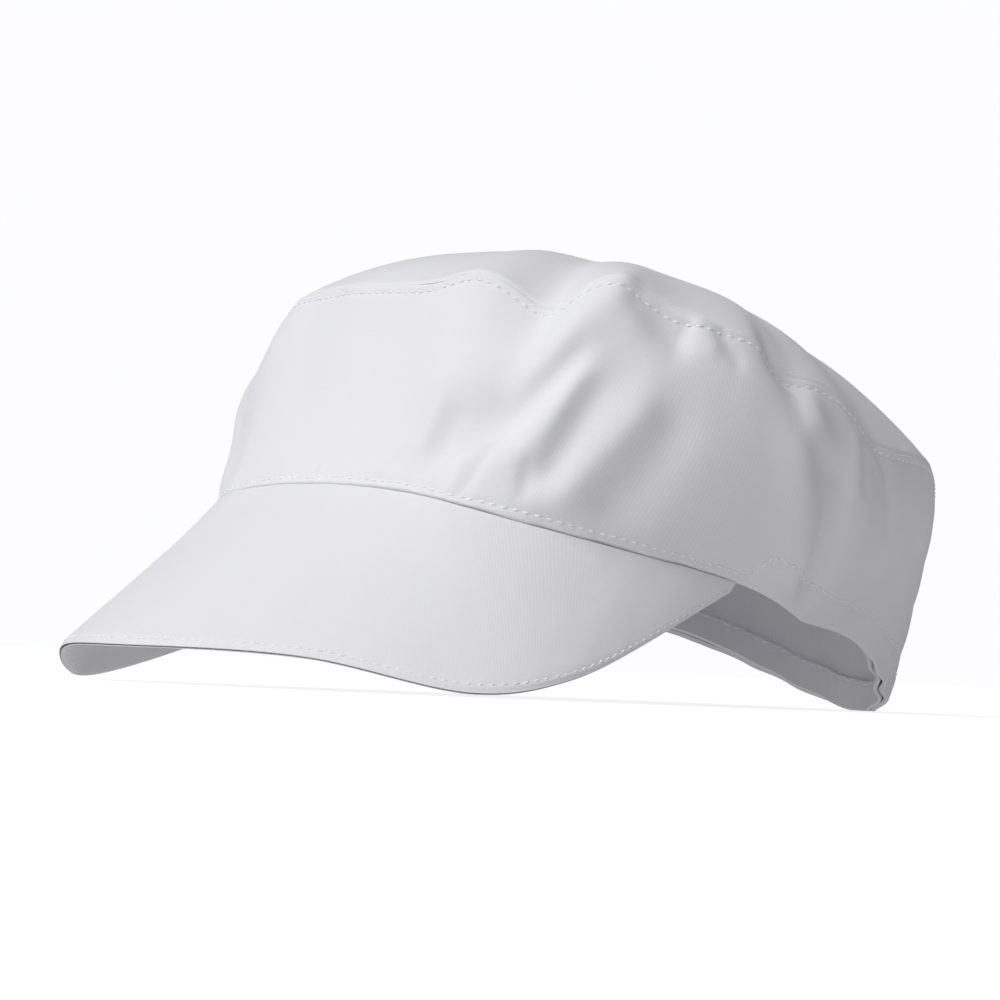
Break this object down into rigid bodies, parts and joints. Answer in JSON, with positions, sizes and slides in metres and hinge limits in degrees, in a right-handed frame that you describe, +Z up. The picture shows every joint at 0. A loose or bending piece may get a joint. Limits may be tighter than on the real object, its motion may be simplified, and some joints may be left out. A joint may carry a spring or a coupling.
{
  "type": "food service visor cap",
  "caption": "Soft white cotton twill kitchen cap with a tall side panel, an oval top panel, a curved drooping visor and an elastic gathered nape, open below for the head.",
  "frame": {"origin": "on the surface that the cap rests on, under the middle of its bounding box", "axes": "+Z up from the rest surface; the visor points towards -Y and the gathered nape towards +Y; +X is the wearer's left"},
  "size_m": [0.1904, 0.262, 0.1186],
  "materials": {
    "crown_side": "cool white cotton twill with fine near upright ribs, matt",
    "crown_top": "cool white cotton twill with fine ribs, matt",
    "visor_upper": "cool white cotton twill, matt",
    "visor_under": "cool white cotton twill, matt",
    "hem_band": "cool white cotton twill turned up inside, matt"
  },
  "bodies": {
    "root": {"crown_side": "crown_side", "crown_top": "crown_top", "visor_upper": "visor_upper", "visor_under": "visor_under", "hem_band": "hem_band"}
  },
  "joints": []
}
